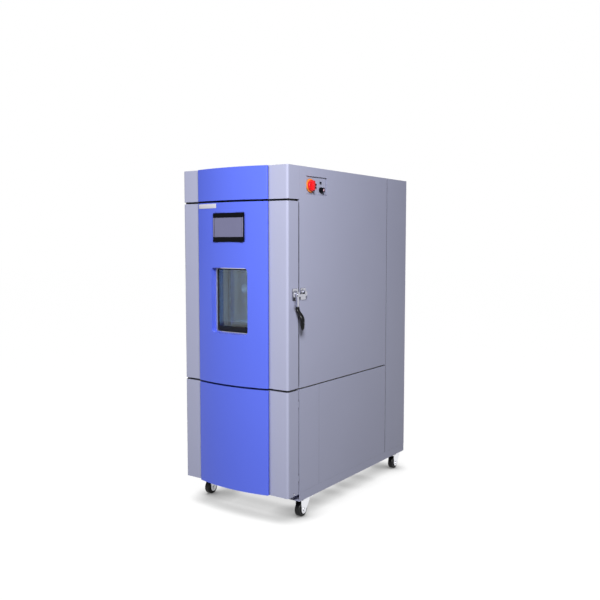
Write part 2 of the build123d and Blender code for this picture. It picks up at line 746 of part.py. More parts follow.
with BuildPart() as latch_lever:
    with BuildSketch(right_plane(lever_x0, latch_y, latch_z)):
        Circle(15)
        with BuildLine():
            Polyline((-9, 0), (-6.5, -lever_length), (6.5, -lever_length), (9, 0), close=True)
        make_face()
        arm_top = roller_rise - roller_radius - seat_gap
        finger_y = roller_y - latch_y + roller_radius + hook_gap
        with BuildLine():
            Polyline((0, -11), (finger_y + 5, -9), (finger_y + 9, -4),
                     (finger_y + 8, roller_rise + 5), (finger_y + 2, roller_rise + 5),
                     (finger_y, arm_top), (0, arm_top), close=True)
        make_face()
        Circle(latch_pin + shaft_gap, mode=Mode.SUBTRACT)
    extrude(amount=lever_thickness)
keep(latch_lever, "latch_lever")

# Grip stations: drop below the pivot, reach from the side, half thickness, half width
grip_stations = ((61, 16, 9, 11), (76, 18, 9, 12), (95, 31, 10.5, 13),
                 (115, 43, 10, 13.5), (140, 46.5, 9, 13), (165, 46.5, 7.5, 10.5),
                 (174, 46, 4, 6))
with BuildPart() as lever_grip:
    for drop, reach, half_thick, half_wide in grip_stations:
        with BuildSketch(Plane.XY.offset(latch_z - drop)):
            with Locations((right_x + reach, latch_y)):
                Ellipse(half_thick, half_wide)
    loft()
    block(lever_x0 - seat_gap, lever_x0 + lever_thickness + seat_gap,
          latch_y - 7.3, latch_y + 7.3, latch_z - lever_length - seat_gap,
          latch_z - 60, Mode.SUBTRACT)
keep(lever_grip, "lever_grip")

with BuildPart() as latch_strike:
    with BuildSketch(right_plane(right_x, roller_y + strike_shift, latch_z)):
        RectangleRounded(strike_width, latch_height, 6)
    extrude(amount=latch_sheet)
    with BuildSketch(right_plane(right_x + latch_sheet, roller_y, latch_z + roller_rise)):
        Circle(roller_radius + 6)
    extrude(amount=boss_height - latch_sheet, taper=18)
    for reach, radius in ((head_x + head_height, roller_pin),
                          (head_x - seat_gap, roller_radius)):
        with BuildSketch(right_plane(right_x + boss_height, roller_y, latch_z + roller_rise)):
            Circle(radius)
        extrude(amount=reach - right_x - boss_height)
    with BuildSketch(right_plane(head_x, roller_y, latch_z + roller_rise)):
        Circle(roller_radius + 1)
    extrude(amount=head_height)
keep(latch_strike, "latch_strike")

# Switch plate: a recessed tray behind the side panel, and the controls on it
plate_mid_y = plate_y0 + plate_width / 2
plate_mid_z = plate_z0 + plate_height / 2
plate_face = right_x - plate_depth
isolator_y = front_y + 200
isolator_z = plate_z0 + 45
escutcheon_size = 66
escutcheon_thickness = 7
isolator_radius = 28.5
isolator_shaft = 4
dial_y = front_y + 297.5
dial_z = plate_z0 + 27.5
dial_radius = 14.5
dial_height = 20
dial_shaft = 3
button_y = front_y + 291.5
button_z = plate_z0 + 65
button_radius = 5
button_stem = 3
button_travel = 3
socket_y = front_y + 245.5
socket_zs = (plate_z0 + 39, plate_z0 + 53)
socket_width = 19
socket_height = 9

with BuildPart() as switch_plate:
    block(right_x - 2 * sheet, right_x - sheet, plate_y0 - fold, plate_y0 + plate_width + fold,
          plate_z0 - fold, plate_z0 + plate_height + fold)
    block(plate_face - sheet, right_x - sheet, plate_y0 - sheet, plate_y0 + plate_width + sheet,
          plate_z0 - sheet, plate_z0 + plate_height + sheet)
    block(plate_face, right_x, plate_y0, plate_y0 + plate_width,
          plate_z0, plate_z0 + plate_height, Mode.SUBTRACT)
    for y, z, radius in ((isolator_y, isolator_z, isolator_shaft),
                         (dial_y, dial_z, dial_shaft), (button_y, button_z, button_stem)):
        with BuildSketch(right_plane(plate_face - 2 * sheet, y, z)):
            Circle(radius + shaft_gap)
        extrude(amount=3 * sheet, mode=Mode.SUBTRACT)
keep(switch_plate, "switch_plate")

with BuildPart() as isolator_escutcheon:
    with BuildSketch(right_plane(plate_face, isolator_y, isolator_z)):
        RectangleRounded(escutcheon_size, escutcheon_size, 5)
        Circle(isolator_shaft + 4, mode=Mode.SUBTRACT)
    extrude(amount=escutcheon_thickness)
    chamfer(isolator_escutcheon.faces().sort_by(Axis.X)[-1].outer_wire().edges(), 1.5)
keep(isolator_escutcheon, "isolator_escutcheon")

with BuildPart() as isolator_knob:
    knob_x = plate_face + escutcheon_thickness + seat_gap
    with BuildSketch(right_plane(knob_x, isolator_y, isolator_z)):
        Circle(isolator_radius)
    extrude(amount=9)
    chamfer(isolator_knob.faces().sort_by(Axis.X)[-1].edges(), 2)
    with BuildSketch(right_plane(knob_x + 9, isolator_y, isolator_z)):
        SlotOverall(2 * isolator_radius - 6, 13, rotation=90)
    extrude(amount=13, taper=4)
    with BuildSketch(right_plane(plate_face - 12, isolator_y, isolator_z)):
        Circle(isolator_shaft)
    extrude(amount=knob_x - plate_face + 12)
keep(isolator_knob, "isolator_knob")

with BuildPart() as overtemp_dial:
    with BuildSketch(right_plane(plate_face + seat_gap, dial_y, dial_z)):
        Circle(dial_radius)
    extrude(amount=5)
    with BuildSketch(right_plane(plate_face + seat_gap + 5, dial_y, dial_z)):
        Circle(dial_radius - 2)
        with PolarLocations(dial_radius - 1.2, 12):
            Circle(1.6, mode=Mode.SUBTRACT)
    extrude(amount=dial_height - 5)
    with BuildSketch(right_plane(plate_face - 12, dial_y, dial_z)):
        Circle(dial_shaft)
    extrude(amount=12 + seat_gap)
keep(overtemp_dial, "overtemp_dial")

with BuildPart() as reset_button:
    with BuildSketch(right_plane(plate_face + button_travel + seat_gap, button_y, button_z)):
        Circle(button_radius)
    extrude(amount=5)
    fillet(reset_button.faces().sort_by(Axis.X)[-1].edges(), 1)
    with BuildSketch(right_plane(plate_face - 12, button_y, button_z)):
        Circle(button_stem)
    extrude(amount=12 + button_travel + seat_gap)
keep(reset_button, "reset_button")

with BuildPart() as panel_sockets:
    for z in socket_zs:
        with BuildSketch(right_plane(plate_face, socket_y, z)):
            RectangleRounded(socket_width, socket_height, 1)
        extrude(amount=4)
        with BuildSketch(right_plane(plate_face + 1, socket_y, z)):
            Rectangle(socket_width - 6, socket_height - 4)
        extrude(amount=5, mode=Mode.SUBTRACT)
keep(panel_sockets, "panel_sockets")

# Test port: a lined tube through the left wall, with a flange outside
port_flange = 12
with BuildPart() as test_port:
    with BuildSketch(left_plane(left_x, port_y, port_z)):
        Circle(port_radius + port_flange)
    extrude(amount=leaf_sheet)
    with BuildSketch(left_plane(mid_x - chamber_width / 2, port_y, port_z)):
        Circle(port_radius + port_wall)
    extrude(amount=half - chamber_width / 2)
    with BuildSketch(left_plane(mid_x - chamber_width / 2 + sheet, port_y, port_z)):
        Circle(port_radius)
    extrude(amount=half - chamber_width / 2 + 3 * leaf_sheet, mode=Mode.SUBTRACT)
keep(test_port, "test_port")

# Cable gland at the back, with its mouth where a supply cord would enter
with BuildPart() as cable_gland:
    with BuildSketch(back_plane(gland_x, back_y - 16, gland_z)):
        Circle(gland_thread)
    extrude(amount=16)
    with BuildSketch(back_plane(gland_x, back_y, gland_z)):
        RegularPolygon(16, 6)
    extrude(amount=8)
    with BuildSketch(back_plane(gland_x, back_y + 8, gland_z)):
        Circle(14)
    extrude(amount=gland_reach - 8)
    fillet(cable_gland.faces().sort_by(Axis.Y)[-1].edges(), 5)
    with BuildSketch(back_plane(gland_x, back_y - 18, gland_z)):
        Circle(6)
    extrude(amount=gland_reach + 20, mode=Mode.SUBTRACT)
keep(cable_gland, "cable_gland")

# Shelf supports: slotted uprights on the chamber's sides, with angle runners
upright_width = 25
upright_sheet = 4
upright_setbacks = (90, 500)
slot_rows = 9
slot_pitch = 70
runner_height = 20
runner_ledge = 22
shelf_levels = (210, 480)
runner_y0 = side_y + 60
runner_y1 = side_y + 560
shelf_zs = [chamber_z0 + level for level in shelf_levels]

with BuildPart() as shelf_supports:
    for side in (-1, 1):
        wall = mid_x + side * chamber_width / 2
        for setback in upright_setbacks:
            x0, x1 = sorted((wall, wall - side * upright_sheet))
            y0 = side_y + setback
            block(x0, x1, y0, y0 + upright_width, chamber_z0 + 30, chamber_z1 - 30)
            for row in range(slot_rows):
                z = (chamber_z0 + chamber_z1) / 2 + (row - (slot_rows - 1) / 2) * slot_pitch
                block(x0 - 1, x1 + 1, y0 + 9, y0 + 16, z, z + 22, Mode.SUBTRACT)
        for z in shelf_zs:
            x0, x1 = sorted((wall - side * upright_sheet, wall - side * (upright_sheet + 2)))
            block(x0, x1, runner_y0, runner_y1, z - 2, z - 2 + runner_height)
            x0, x1 = sorted((wall - side * upright_sheet,
                             wall - side * (upright_sheet + runner_ledge)))
            block(x0, x1, runner_y0, runner_y1, z - 2, z)
keep(shelf_supports, "shelf_supports")

# Wire shelves: a rim rod round the edge, with round rods across it
shelf_half = chamber_width / 2 - upright_sheet - 2 - 3
shelf_rim = 8
rod_radius = 2.5
rod_count = 14

with BuildPart() as wire_shelves:
    shelf_y0, shelf_y1 = runner_y0 + 4, runner_y1 - 4
    spacing = 2 * (shelf_half - shelf_rim) / (rod_count + 1)
    for z in shelf_zs:
        block(mid_x - shelf_half, mid_x + shelf_half, shelf_y0, shelf_y1, z, z + shelf_rim)
        block(mid_x - shelf_half + shelf_rim, mid_x + shelf_half - shelf_rim,
              shelf_y0 + shelf_rim, shelf_y1 - shelf_rim, z - 1, z + shelf_rim + 1,
              Mode.SUBTRACT)
        with BuildSketch(back_plane(mid_x, shelf_y0 + shelf_rim / 2, z + shelf_rim / 2)):
            with GridLocations(spacing, 0, rod_count, 1):
                Circle(rod_radius)
        extrude(amount=shelf_y1 - shelf_y0 - shelf_rim)
keep(wire_shelves, "wire_shelves")

# Air baffle: the rear wall of the working space, with outlet and return slots
baffle_slots = 11
baffle_slot_width = 24
baffle_slot_pitch = 38
with BuildPart() as air_baffle:
    block(mid_x - chamber_width / 2 + seat_gap, mid_x + chamber_width / 2 - seat_gap,
          baffle_y, baffle_y + sheet, chamber_z0 + seat_gap, chamber_z1 - seat_gap)
    with BuildSketch(back_plane(mid_x, baffle_y - sheet, chamber_z1 - 80)):
        with GridLocations(baffle_slot_pitch, 45, baffle_slots, 2):
            SlotOverall(34, baffle_slot_width / 2, rotation=90)
    extrude(amount=3 * sheet, mode=Mode.SUBTRACT)
    with BuildSketch(back_plane(mid_x, baffle_y - sheet, chamber_z0 + 70)):
        with GridLocations(baffle_slot_pitch, 0, baffle_slots, 1):
            SlotOverall(70, baffle_slot_width, rotation=90)
    extrude(amount=3 * sheet, mode=Mode.SUBTRACT)
keep(air_baffle, "air_baffle")

# Circulation fan behind the baffle: a centrifugal wheel on the motor's long shaft
fan_radius = 105
fan_depth = 60
fan_hub = 30
blade_count = 18
blade_sheet = 2
fan_y0 = baffle_y + 50
motor_y = core_y1 + seat_gap
motor_radius = 62
motor_length = 130

with BuildPart() as fan_impeller:
    with BuildSketch(back_plane(mid_x, fan_y0 + fan_depth - 3, fan_z)):
        Circle(fan_radius)
    extrude(amount=3)
    with BuildSketch(back_plane(mid_x, fan_y0, fan_z)):
        Circle(fan_radius)
        Circle(fan_radius - 28, mode=Mode.SUBTRACT)
    extrude(amount=2.5)
    with BuildSketch(back_plane(mid_x, fan_y0 + 1, fan_z)):
        with PolarLocations(fan_radius - 15, blade_count):
            Rectangle(26, blade_sheet, rotation=35)
    extrude(amount=fan_depth - 2)
    with BuildSketch(back_plane(mid_x, fan_y0 + 20, fan_z)):
        Circle(fan_hub)
    extrude(amount=fan_depth - 20)
    with BuildSketch(back_plane(mid_x, fan_y0 + 20, fan_z)):
        Circle(shaft_radius)
    extrude(amount=motor_y + motor_length / 2 - fan_y0 - 20)
keep(fan_impeller, "fan_impeller")

# Condenser at the back of the machine space: finned coil, shroud and axial fan
coil_width = 420
coil_height = 380
coil_depth = 50
coil_z0 = rail_top + 10
coil_y1 = back_y - 40
coil_y0 = coil_y1 - coil_depth
shroud_depth = 60
shroud_y0 = coil_y0 - shroud_depth
fan_bore = 165
axial_radius = 155
axial_z = coil_z0 + coil_height / 2
axial_hub = 38
axial_blades = 5
fin_count = 24
coil_tubes = 8
axial_motor_radius = 36
axial_motor_length = 80
end_plate = 2
fin_sheet = 1
fin_inset = 3
coil_tube = 5


def finned_coil(width, y0, y1, foot_z, z0, z1, fins, tubes):
    """A coil on end plates that reach down to foot_z: fins, two flanges and return bends."""
    x0, x1 = mid_x - width / 2, mid_x + width / 2
    fin_pitch = (width - end_plate) / (fins + 1)
    tube_pitch = (z1 - z0) / tubes
    with BuildPart() as coil:
        for plate_x0 in (x0, x1 - end_plate):
            block(plate_x0, plate_x0 + end_plate, y0, y1, foot_z, z1)
        for flange_z0 in (z0, z1 - end_plate):
            block(x0, x1, y0, y1, flange_z0, flange_z0 + end_plate)
        for fin in range(1, fins + 1):
            fin_x = x0 + end_plate / 2 + fin * fin_pitch
            block(fin_x - fin_sheet / 2, fin_x + fin_sheet / 2, y0 + fin_inset, y1 - fin_inset,
                  z0, z1)
        for side, plate_x, first in ((1, x1, 1), (-1, x0, 2)):
            for step in range(first, tubes, 2):
                middle = (plate_x, (y0 + y1) / 2, z0 + step * tube_pitch)
                with BuildSketch(right_plane(*middle)):
                    with Locations((0, tube_pitch / 2)):
                        Circle(coil_tube)
                revolve(axis=Axis(middle, (0, side, 0)), revolution_arc=180)
    return coil


keep(finned_coil(coil_width, coil_y0, coil_y1, rail_top, coil_z0, coil_z0 + coil_height,
                 fin_count, coil_tubes), "condenser")

with BuildPart() as condenser_shroud:
    block(mid_x - coil_width / 2, mid_x + coil_width / 2, shroud_y0, coil_y0 - seat_gap,
          rail_top, coil_z0 + coil_height)
    block(mid_x - coil_width / 2 + sheet, mid_x + coil_width / 2 - sheet, shroud_y0 + sheet,
          coil_y0, coil_z0, coil_z0 + coil_height - sheet, Mode.SUBTRACT)
    with BuildSketch(back_plane(mid_x, shroud_y0 - sheet, axial_z)):
        Circle(fan_bore)
    extrude(amount=3 * sheet, mode=Mode.SUBTRACT)
    for angle in (0, 90):
        with BuildSketch(front_plane(mid_x, shroud_y0, axial_z)):
            Rectangle(2 * fan_bore + 30, 14, rotation=angle)
            Circle(axial_motor_radius + seat_gap, mode=Mode.SUBTRACT)
        extrude(amount=4)
    with BuildSketch(front_plane(mid_x, shroud_y0, axial_z)):
        Circle(axial_motor_radius + 8)
        Circle(axial_motor_radius + seat_gap, mode=Mode.SUBTRACT)
    extrude(amount=20)
keep(condenser_shroud, "condenser_shroud")

with BuildPart() as condenser_fan:
    hub_y = shroud_y0 + 6
    with BuildSketch(back_plane(mid_x, hub_y, axial_z)):
        Circle(axial_hub)
    extrude(amount=30)
    for blade in range(axial_blades):
        turn = 360 * blade / axial_blades
        arm = Plane(origin=(mid_x + (axial_hub - 4) * cos(radians(turn)), hub_y + 15,
                            axial_z + (axial_hub - 4) * sin(radians(turn))),
                    x_dir=(0, 1, 0), z_dir=(cos(radians(turn)), 0, sin(radians(turn))))
        with BuildSketch(arm):
            Rectangle(24, 3, rotation=50)
        with BuildSketch(arm.offset(axial_radius - axial_hub + 4)):
            Rectangle(60, 3, rotation=65)
        loft()
    with BuildSketch(front_plane(mid_x, hub_y, axial_z)):
        Circle(shaft_radius)
    extrude(amount=20)
keep(condenser_fan, "condenser_fan")

# Motors: the circulation fan's on the rear of the foam, the condenser's in its spider
with BuildPart() as fan_motors:
    with BuildSketch(back_plane(mid_x, motor_y, fan_z)):
        Circle(motor_radius + 14)
    extrude(amount=6)
    with BuildSketch(back_plane(mid_x, motor_y + 6, fan_z)):
        Circle(motor_radius)
        with PolarLocations(motor_radius, 12):
            Circle(4)
    extrude(amount=motor_length - 6)
    with BuildSketch(back_plane(mid_x, motor_y - 1, fan_z)):
        Circle(shaft_radius + shaft_gap)
    extrude(amount=motor_length / 2 + 2, mode=Mode.SUBTRACT)
    with BuildSketch(front_plane(mid_x, shroud_y0, axial_z)):
        Circle(axial_motor_radius)
    extrude(amount=axial_motor_length)
    with BuildSketch(front_plane(mid_x, shroud_y0 + 1, axial_z)):
        Circle(shaft_radius + shaft_gap)
    extrude(amount=18, mode=Mode.SUBTRACT)
keep(fan_motors, "fan_motors")

# Heater: a bent tube in the plenum, on two straps from the back wall
heater_z = chamber_z0 + 190
heater_reach = 200
heater_rows = 5
heater_pitch = 24
heater_tube = 5
heater_y = chamber_y1 - 60
with BuildPart() as heater_coil:
    with BuildLine() as coil_line:
        corners = []
        for row in range(heater_rows):
            ends = (-1, 1) if row % 2 == 0 else (1, -1)
            for end in ends:
                corners.append((mid_x + end * heater_reach, heater_y,
                                heater_z + row * heater_pitch))
        FilletPolyline(*corners, radius=heater_pitch / 2 - 0.5)
    start = coil_line.line @ 0
    with BuildSketch(Plane(origin=start, z_dir=coil_line.line % 0)):
        Circle(heater_tube)
    sweep()
    for end in (-1, 1):
        strap_x = mid_x + end * heater_reach / 2
        block(strap_x - 8, strap_x + 8, heater_y, chamber_y1 - seat_gap,
              heater_z - 12, heater_z + (heater_rows - 1) * heater_pitch + 12)
keep(heater_coil, "heater_coil")

# Evaporator: a finned coil across the foot of the plenum, on the chamber's floor
cooler_y0 = baffle_y + 30
cooler_y1 = chamber_y1 - 20
cooler_z0 = chamber_z0 + 30
cooler_z1 = chamber_z0 + 150
cooler_fins = 16
cooler_tubes = 3
cooler_side_gap = 30
keep(finned_coil(chamber_width - 2 * cooler_side_gap, cooler_y0, cooler_y1,
                 chamber_z0 + seat_gap, cooler_z0, cooler_z1, cooler_fins, cooler_tubes),
     "evaporator")

# Chamber lamp: a round fitting in the left wall near the door
lamp_y = side_y + 45
lamp_z = chamber_z1 - 70
with BuildPart() as chamber_lamp:
    with BuildSketch(right_plane(mid_x - chamber_width / 2, lamp_y, lamp_z)):
        Circle(26)
    extrude(amount=5)
    with BuildSketch(right_plane(mid_x - chamber_width / 2 + 5, lamp_y, lamp_z)):
        Circle(20)
    extrude(amount=9, taper=20)
keep(chamber_lamp, "chamber_lamp")

# Compressors: domed shells on feet, bolted to the floor
compressor_radius = 85
compressor_height = 250
compressor_setbacks = (420, 700)
compressor_side = 110
dome = 40
with BuildPart() as compressors:
    for setback, side in zip(compressor_setbacks, (-1, 1)):
        x = mid_x + side * compressor_side
        y = front_y + setback
        with BuildSketch(Plane.XY.offset(rail_top)):
            with Locations((x, y)):
                RectangleRounded(190, 190, 30)
        extrude(amount=6)
        with BuildSketch(Plane.XY.offset(rail_top + 6)):
            with Locations((x, y)):
                Circle(compressor_radius)
        extrude(amount=compressor_height - 6)
        rims = compressors.edges().filter_by(GeomType.CIRCLE)
        fillet(rims.filter_by(lambda rim: rim.radius == compressor_radius).group_by(Axis.Z)[-1],
               dome)
keep(compressors, "compressors")

# Water tank behind the lower cover, with its filler cap
tank_width = 420
tank_depth = 130
tank_height = 260
tank_y0 = side_y + post + 20
with BuildPart() as water_tank:
    with BuildSketch(Plane.XY.offset(rail_top)):
        with Locations((mid_x, tank_y0 + tank_depth / 2)):
            RectangleRounded(tank_width, tank_depth, 15)
    extrude(amount=tank_height)
    fillet(water_tank.faces().sort_by(Axis.Z)[-1].edges(), 10)
    with BuildSketch(Plane.XY.offset(rail_top + tank_height)):
        with Locations((mid_x - tank_width / 3, tank_y0 + tank_depth / 2)):
            Circle(30)
    extrude(amount=18)
keep(water_tank, "water_tank")

# Electrical plate across the rear posts, with its contactors and relays
plate_sheet_y = rear_post_y + post
electrical_rise = 620
electrical_height = 340
electrical_z0 = low_seam + electrical_rise
electrical_z1 = electrical_z0 + electrical_height
relay_reach = 60
with BuildPart() as electrical_plate:
    block(mid_x - core_half, mid_x + core_half, plate_sheet_y, plate_sheet_y + 2,
          electrical_z0, electrical_z1)
    with BuildSketch(back_plane(mid_x, plate_sheet_y + 2, (electrical_z0 + electrical_z1) / 2)):
        with GridLocations(120, 150, 4, 2):
            Rectangle(80, 100)
    extrude(amount=relay_reach, taper=3)
keep(electrical_plate, "electrical_plate")
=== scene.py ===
import math

import bpy
from mathutils import Matrix, Vector


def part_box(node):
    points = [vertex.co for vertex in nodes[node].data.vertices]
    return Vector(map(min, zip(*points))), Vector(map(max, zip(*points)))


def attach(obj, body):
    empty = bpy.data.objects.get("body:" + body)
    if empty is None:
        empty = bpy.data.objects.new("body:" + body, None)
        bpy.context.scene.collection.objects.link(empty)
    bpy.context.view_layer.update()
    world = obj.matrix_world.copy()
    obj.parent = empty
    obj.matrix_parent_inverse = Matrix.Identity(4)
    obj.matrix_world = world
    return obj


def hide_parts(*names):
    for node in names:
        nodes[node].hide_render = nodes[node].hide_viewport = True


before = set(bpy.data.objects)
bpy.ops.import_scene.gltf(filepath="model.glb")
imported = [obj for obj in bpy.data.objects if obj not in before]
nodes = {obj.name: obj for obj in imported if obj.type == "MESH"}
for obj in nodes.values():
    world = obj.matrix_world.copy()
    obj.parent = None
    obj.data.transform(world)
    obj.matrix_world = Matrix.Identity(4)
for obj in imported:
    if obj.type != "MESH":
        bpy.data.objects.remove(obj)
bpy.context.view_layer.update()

# Camera: the photograph's viewpoint, off the front right corner of the cabinet and
# a little under its top. Its place is in metres and its turns are in degrees.
camera_place = (2.4573, -3.5688, 1.4213)
camera_turn = 34.93
camera_drop = 4.42
bpy.ops.object.camera_add(location=camera_place,
                          rotation=(math.radians(90 - camera_drop), 0, math.radians(camera_turn)))
camera = bpy.context.object
camera.data.sensor_width = 36
camera.data.lens = 44.678
bpy.context.scene.camera = camera
bpy.context.scene.view_settings.view_transform = "Standard"


# Studio: a white room with one soft lamp high on the right and the fill from the left.
# The eye sees plain white, and gloss sees the room fade to grey away from the lamp.
def linear(hex_color):
    """An sRGB hex colour as linear red, green, blue and alpha."""
    channels = [int(hex_color[start:start + 2], 16) / 255 for start in (0, 2, 4)]
    return [c / 12.92 if c <= 0.04045 else ((c + 0.055) / 1.055) ** 2.4 for c in channels] + [1.0]


def add_node(tree, kind, sockets=None, **settings):
    """A node with its settings; sockets gives each input a value or the output that feeds it."""
    made = tree.nodes.new(kind)
    for name, value in settings.items():
        setattr(made, name, value)
    for name, value in (sockets or {}).items():
        if isinstance(value, bpy.types.NodeSocket):
            tree.links.new(value, made.inputs[name])
        else:
            made.inputs[name].default_value = value
    return made


def ray_share(tree, *kinds):
    """1 for rays of those kinds, and 0 for the others."""
    ray = add_node(tree, "ShaderNodeLightPath")
    share = ray.outputs[kinds[0]]
    for kind in kinds[1:]:
        share = add_node(tree, "ShaderNodeMath", {0: share, 1: ray.outputs[kind]},
                         operation="MAXIMUM").outputs[0]
    return share


lit_side = Vector((0.72, -0.5, 0.48)).normalized()
fill_side = Vector((-1, -0.15, 0.1)).normalized()
shade_sky, lit_sky = 0.0, 0.7
shade_mirror, lit_mirror = 0.22, 1.0
world = bpy.data.worlds.new("white_studio")
world.use_nodes = True
tree = world.node_tree
tree.nodes.clear()
toward = add_node(tree, "ShaderNodeTexCoord").outputs["Generated"]
facing = add_node(tree, "ShaderNodeVectorMath", {0: toward, 1: lit_side},
                  operation="DOT_PRODUCT").outputs["Value"]
filling = add_node(tree, "ShaderNodeVectorMath", {0: toward, 1: fill_side},
                   operation="DOT_PRODUCT").outputs["Value"]
sky_light = add_node(tree, "ShaderNodeMapRange", {0: filling, 1: -0.5, 2: 1, 3: shade_sky, 4: lit_sky})
sky_mirror = add_node(tree, "ShaderNodeMapRange",
                      {0: facing, 1: -0.35, 2: 0.55, 3: shade_mirror, 4: lit_mirror})
sky_strength = add_node(tree, "ShaderNodeMix", {0: ray_share(tree, "Is Glossy Ray"),
                                                2: sky_light.outputs[0], 3: sky_mirror.outputs[0]})
sky_strength = add_node(tree, "ShaderNodeMix",
                        {0: ray_share(tree, "Is Camera Ray", "Is Transmission Ray"),
                         2: sky_strength.outputs[0], 3: 1.0})
sky = add_node(tree, "ShaderNodeBackground",
               {"Color": linear("ffffff"), "Strength": sky_strength.outputs[0]})
add_node(tree, "ShaderNodeOutputWorld", {"Surface": sky.outputs[0]})
bpy.context.scene.world = world

key_place = Vector((2.62, -3.3, 3.15))
key_aim = Vector((0.0, -0.4, 1.3))
bpy.ops.object.light_add(type="AREA", location=key_place,
                         rotation=(key_aim - key_place).to_track_quat("-Z", "Y").to_euler())
key = bpy.context.object
key.data.energy = 196
key.data.size = 1.1

# The floor is white where the eye sees it and greys only under what stands close to
# it; shadow_reach is how near that has to be, in metres.
floor_shade = 0.2
floor_white = 0.98
shadow_reach = 0.17
bpy.ops.mesh.primitive_plane_add(size=60, location=(0, 0, 0))
floor = bpy.context.object
floor.name = "floor"
floor_material = bpy.data.materials.new("white_floor")
floor_material.use_nodes = True
tree = floor_material.node_tree
tree.nodes.clear()
floor_diffuse = add_node(tree, "ShaderNodeBsdfDiffuse", {"Color": linear("484848")})
open_share = add_node(tree, "ShaderNodeAmbientOcclusion", {"Distance": shadow_reach}, samples=24)
floor_light = add_node(tree, "ShaderNodeMapRange",
                       {0: open_share.outputs["AO"], 1: 0.36, 2: 0.84, 3: floor_shade, 4: floor_white})
floor_seen = ray_share(tree, "Is Camera Ray", "Is Glossy Ray", "Is Transmission Ray")
floor_light = add_node(tree, "ShaderNodeMath", {0: floor_light.outputs[0], 1: floor_seen},
                       operation="MULTIPLY")
floor_emission = add_node(tree, "ShaderNodeEmission",
                          {"Color": linear("ffffff"), "Strength": floor_light.outputs[0]})
floor_sum = add_node(tree, "ShaderNodeAddShader",
                     {0: floor_diffuse.outputs[0], 1: floor_emission.outputs[0]})
add_node(tree, "ShaderNodeOutputMaterial", {"Surface": floor_sum.outputs[0]})
floor.data.materials.append(floor_material)


# Cabinet sheet metal: folded steel panels with a pale lavender-grey polyester powder
# coat, baked to a fine orange peel, and darkened in the seams between the panels by painted shade.
def new_material(name):
    """A material with one Principled shader, its node tree and that shader."""
    material = bpy.data.materials.new(name)
    material.use_nodes = True
    material.node_tree.nodes.clear()
    shader = add_node(material.node_tree, "ShaderNodeBsdfPrincipled")
    add_node(material.node_tree, "ShaderNodeOutputMaterial", {"Surface": shader.outputs[0]})
    return material, material.node_tree, shader


def mottle(tree, shader, low, high, patch):
    """Colour that drifts between two hex values in soft patches of that size in metres."""
    place = add_node(tree, "ShaderNodeTexCoord").outputs["Object"]
    noise = add_node(tree, "ShaderNodeTexNoise", {"Vector": place, "Scale": 1 / patch, "Detail": 3})
    blend = add_node(tree, "ShaderNodeMix",
                     {0: noise.outputs[0], 6: linear(low), 7: linear(high)}, data_type="RGBA")
    tree.links.new(blend.outputs[2], shader.inputs["Base Color"])


def grain(tree, shader, size, depth, stretch=(1, 1, 1), amount=0.3):
    """Relief of that grain size and depth in metres."""
    place = add_node(tree, "ShaderNodeTexCoord").outputs["Object"]
    place = add_node(tree, "ShaderNodeMapping", {"Vector": place, "Scale": stretch}).outputs[0]
    noise = add_node(tree, "ShaderNodeTexNoise", {"Vector": place, "Scale": 1 / size, "Detail": 2})
    relief = add_node(tree, "ShaderNodeBump",
                      {"Height": noise.outputs[0], "Distance": depth, "Strength": amount})
    tree.links.new(relief.outputs[0], shader.inputs["Normal"])


def paint_crevice_shade(tree, shader, reach, left):
    """Painted shade: colour that sinks to that share of itself where another face is nearer than reach
    metres.
    """
    color = shader.inputs["Base Color"]
    unshaded = color.links[0].from_socket if color.links else tuple(color.default_value)
    near = add_node(tree, "ShaderNodeAmbientOcclusion", {"Distance": reach}, samples=8)
    share = add_node(tree, "ShaderNodeMapRange",
                     {0: near.outputs["AO"], 1: 0.3, 2: 0.9, 3: left, 4: 1.0})
    shaded = add_node(tree, "ShaderNodeMix", {0: 1.0, 6: unshaded, 7: share.outputs[0]},
                      data_type="RGBA", blend_type="MULTIPLY")
    tree.links.new(shaded.outputs[2], color)


coat_patch = 0.4
peel_size = 0.005
peel_depth = 0.0004
# Painted shade in the coat's seams and recesses: how near another face has to be, and the share of
# colour left there.
seam_shade_reach = 0.014
seam_shade_left = 0.2


def powder_coat(name, low, high, roughness, gloss=0.5):
    """Baked polyester powder: satin, with an orange peel drawn coarse so that it shows."""
    material, tree, shader = new_material(name)
    shader.inputs["Roughness"].default_value = roughness
    shader.inputs["IOR"].default_value = 1.5
    shader.inputs["Specular IOR Level"].default_value = gloss
    mottle(tree, shader, low, high, coat_patch)
    grain(tree, shader, peel_size, peel_depth)
    # Painted shade darkens the coat where faces come close.
    paint_crevice_shade(tree, shader, seam_shade_reach, seam_shade_left)
    return material


def dress(material, *names):
    """Give CAD nodes that material in every slot."""
    for name in names:
        mesh = nodes[name].data
        if not mesh.materials:
            mesh.materials.append(material)
        for slot in range(len(mesh.materials)):
            mesh.materials[slot] = material


grey_coat = powder_coat("grey_powder_coat", "b9bcd8", "bfc2de", 0.34, 0.22)
dress(grey_coat, "header_cover", "door_shell", "lower_cover", "right_side_panel",
      "right_lower_panels", "left_side_panels", "top_panel", "rear_shell", "louvre_panel",
      "rear_service_panel", "switch_plate", "base_frame")

# Blue front panels: convex steel pressings in a glossier blue powder coat, clipped
# on the middle of the header cover, the door and the lower cover.
blue_coat = powder_coat("blue_powder_coat", "6278fa", "677cff", 0.27, 0.3)
dress(blue_coat, "header_fascia", "door_fascia", "lower_fascia")


# Nameplate: a blank white plate on the door's blue panel, pressed to the same curve
# and glued on, near the panel's top left corner.
def deselect():
    """Nothing selected, so that the next operator acts on the next piece alone."""
    bpy.ops.object.select_all(action="DESELECT")


def pick_faces(piece, wanted):
    """Edit mode on a piece with only the faces selected for which wanted(face) is true."""
    bpy.ops.object.mode_set(mode="EDIT")
    bpy.ops.mesh.select_mode(type="FACE")
    bpy.ops.mesh.select_all(action="DESELECT")
    bpy.ops.object.mode_set(mode="OBJECT")
    for face in piece.data.polygons:
        face.select = wanted(face)
    bpy.ops.object.mode_set(mode="EDIT")


